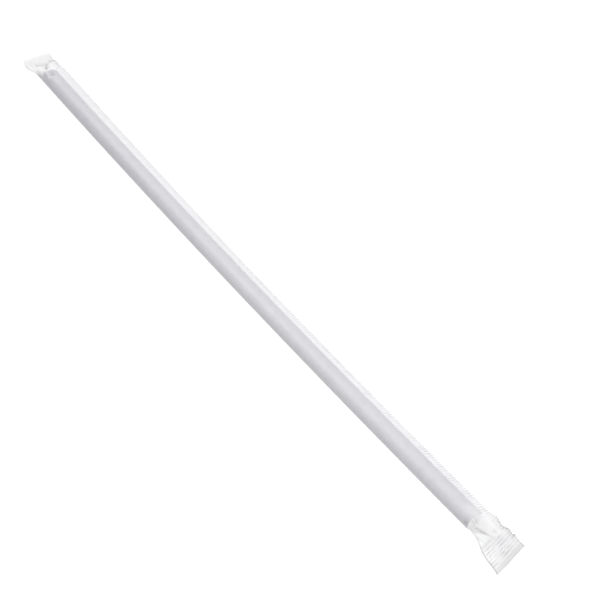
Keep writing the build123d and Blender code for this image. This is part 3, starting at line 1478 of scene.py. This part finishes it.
    def handle(self, place: Layout, across: np.ndarray, gap: np.ndarray) -> tuple:
        """Work out what handling has done to the two flaps.

        A mark that would push the upper ply through the lower one stops short of it.

        Args:
            place: Between which edges the places lie.
            across: Distances from the straw's line to the seam's side.
            gap: Distances up from the opposite ply.

        Returns:
            Heights to add, painted shade and light of marks and edges, and how far the paper is lifted
            off the straw.
        """
        height, tone, lifted = (np.zeros_like(across) for _ in range(3))
        room = np.maximum(gap - self.thickness - self.ply_gap, 0.0)
        for flap, past in zip(self.flaps, place.past):
            relief = flap.relief(past, across)
            joined = flap.joined(past)
            felt = flap.felt(past)
            alone = np.where(place.upper, np.maximum(relief * (1 - joined), -room), 0.0)
            height = height + felt * (relief * joined + alone)
            height = height + flap.turned_edges(past, across, place.outer) + flap.bent(past, across)
            # Painted shade in the marks' creases, then the flap's painted shade and light along edges
            # and in patches.
            tone = tone + np.clip(-relief * felt - self.creases.least, 0.0, 1.0)
            tone = tone + flap.tone(past, across, place)
            lifted = lifted + relief * felt * smooth(*self.show_through.lift_fade, past)
        return height, tone, lifted

    def slanted(self, place: Layout, across: np.ndarray, crimped: np.ndarray) -> np.ndarray:
        """Work out where along the straw's line each place comes to lie.

        The long seam's ridges lean, and each flap's ridges and cut lie at its own angle.

        Args:
            place: Between which edges the places lie.
            across: Distances from the straw's line to the seam's side.
            crimped: How far into a crimped band each place lies.

        Returns:
            Distances along the straw's line.
        """
        lean = math.tan(math.radians(self.seam.lean)) * np.maximum(across - place.root, 0.0)
        along = place.station + self.seam.wobble.at(place.station, across) * crimped
        for flap, past in zip(self.flaps, place.past):
            turned = smooth(flap.skew_start, flap.mouth, past)
            lean = lean * (1 - turned)
            along = along + math.tan(math.radians(flap.skew)) * across * turned
        return along + lean

    def clear_straw(self, station: np.ndarray, across: np.ndarray, height: np.ndarray) -> tuple:
        """Keep the paper outside the straw and above the table.

        Args:
            station: Distances along the straw's line.
            across: Distances across it.
            height: Heights above the table.

        Returns:
            The distances across and the heights, moved out where they were too close.
        """
        least = self.straw_radius + self.thickness / 2 + self.clearance
        up = height - self.straw_height
        away = np.hypot(across, up)
        push = np.maximum(least / np.maximum(away, self.clearance), 1.0)
        push = np.where(np.abs(station) < self.line.half_length + self.end_margin, push, 1.0)
        lowest = self.thickness / 2 + self.table_gap
        return across * push, np.maximum(self.straw_height + up * push, lowest)

    def thicken(self, sheet: bpy.types.Object) -> None:
        """Give the folded sheet its thickness and smooth shading.

        Args:
            sheet: The folded sheet.
        """
        bpy.ops.object.modifier_add(type="SOLIDIFY")
        wall = sheet.modifiers[-1]
        wall.thickness = self.thickness * MM
        wall.offset = 0.0
        wall.use_even_offset = False
        bpy.ops.object.modifier_apply(modifier=wall.name)
        bpy.ops.object.mode_set(mode="EDIT")
        bpy.ops.mesh.select_all(action="SELECT")
        bpy.ops.mesh.normals_make_consistent(inside=False)
        bpy.ops.object.mode_set(mode="OBJECT")
        bpy.ops.object.shade_smooth_by_angle(angle=math.radians(self.smooth_angle))

    def dress(self, sheet: bpy.types.Object) -> None:
        """Give the sleeve its paper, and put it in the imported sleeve's place.

        Args:
            sheet: The finished sheet.
        """
        sheet.data.materials.append(PaperFinish().make())
        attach(sheet, "root")
        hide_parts(Node.SLEEVE.value)


@dataclass
class Straw:
    """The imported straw, a plain tube that keeps its mesh.

    Attributes:
        low: Lowest corner of its box, in metres.
        high: Highest corner of its box, in metres.
    """

    low: Vector
    high: Vector

    @property
    def line(self) -> StrawLine:
        """The straw's middle line."""
        return StrawLine(half_length=(self.high.x - self.low.x) / 2 / MM)

    @property
    def radius(self) -> float:
        """The straw's outer radius."""
        return (self.high.z - self.low.z) / 2 / MM

    @property
    def height(self) -> float:
        """Height of the straw's middle line."""
        return (self.high.z + self.low.z) / 2 / MM

    def dress(self) -> bpy.types.Object:
        """Give the straw its plastic.

        Returns:
            The straw's object.
        """
        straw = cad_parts[Node.STRAW.value]
        straw.data.materials.clear()
        straw.data.materials.append(PlasticFinish().make())
        return straw


@dataclass(frozen=True)
class Lamp:
    """A soft square lamp. Distances are in metres.

    Attributes:
        name: The lamp's name.
        place: Where it hangs.
        size: Its side.
        power: Its power in watts.
    """

    name: str
    place: tuple
    size: float
    power: float

    def hang(self) -> None:
        """Add the lamp, facing the object."""
        bpy.ops.object.light_add(type="AREA", location=self.place)
        light = bpy.context.object
        light.name = self.name
        light.data.size = self.size
        light.data.energy = self.power
        light.rotation_euler = (-Vector(self.place)).to_track_quat("-Z", "Y").to_euler()


@dataclass(frozen=True)
class Studio:
    """Camera, floor and soft lights. Distances are in metres.

    Attributes:
        eye: The camera's place.
        aim: The point on the floor that it looks at.
        roll: Turn of the camera about its own line of sight, in degrees.
        lens: Focal length in millimetres.
        sensor: Width of the camera's sensor in millimetres.
        clip: The nearest and the farthest that the camera sees.
        floor_size: Side of the square floor.
        lamps: The lamps.
        world_light: Strength of the light that the world sheds on the object.
    """

    eye: tuple = (0.27666, 0.00279, 0.470355)
    aim: tuple = (0.02478, 0.01136, 0.0)
    roll: float = -42.0
    lens: float = 88.33
    sensor: float = 36.0
    clip: tuple = (0.01, 50.0)
    floor_size: float = 12.0
    lamps: tuple = (
        Lamp("key_light", (-5.6, 6.4, 7.2), 3.9, 540.0),
        Lamp("fill_light", (0.7, -0.25, 1.1), 0.8, 4.2),
    )
    world_light: float = 0.5

    def build(self) -> None:
        """Make the floor, the lights, the world and the camera."""
        self.lay_floor()
        for lamp in self.lamps:
            lamp.hang()
        self.light_world()
        self.place_camera()

    def lay_floor(self) -> None:
        """Add the floor."""
        bpy.ops.mesh.primitive_plane_add(size=self.floor_size)
        floor = bpy.context.object
        floor.name = "floor"
        floor.data.materials.append(FloorFinish().make())

    def light_world(self) -> None:
        """Set an even pale world, white to the camera and in reflections."""
        world = bpy.data.worlds.new("studio")
        bpy.context.scene.world = world
        world.use_nodes = True
        tree = world.node_tree
        ground = tree.nodes["Background"]
        ground.inputs["Color"].default_value = Palette.BACKGROUND
        level = tree.nodes.new("ShaderNodeMapRange")
        level.inputs["To Min"].default_value = self.world_light
        level.inputs["To Max"].default_value = 1.0
        tree.links.new(backdrop_rays(tree), level.inputs["Value"])
        tree.links.new(level.outputs["Result"], ground.inputs["Strength"])

    def place_camera(self) -> None:
        """Add the camera at the photograph's place."""
        eye = Vector(self.eye)
        turn = (Vector(self.aim) - eye).to_track_quat("-Z", "Y")
        turn = turn @ Quaternion((0.0, 0.0, 1.0), math.radians(self.roll))
        bpy.ops.object.camera_add(location=eye)
        camera = bpy.context.object
        camera.rotation_euler = turn.to_euler()
        camera.data.sensor_width = self.sensor
        camera.data.lens = self.lens
        camera.data.clip_start, camera.data.clip_end = self.clip
        bpy.context.scene.camera = camera


def main() -> None:
    """Build the sleeve round the straw, dress the straw and set up the studio."""
    logging.basicConfig(level=logging.INFO)
    bpy.ops.object.select_all(action="DESELECT")
    bpy.context.scene.view_settings.view_transform = "Standard"
    straw = Straw(*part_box(Node.STRAW.value))
    sleeve = PaperSleeve(straw.line, straw.radius, straw.height)
    log.info("paper sleeve: %d faces", len(sleeve.build().data.polygons))
    log.info("straw: %d faces", len(straw.dress().data.polygons))
    Studio().build()
    log.info("studio: %d lamps", len(Studio().lamps))


if __name__ == "__main__":
    main()
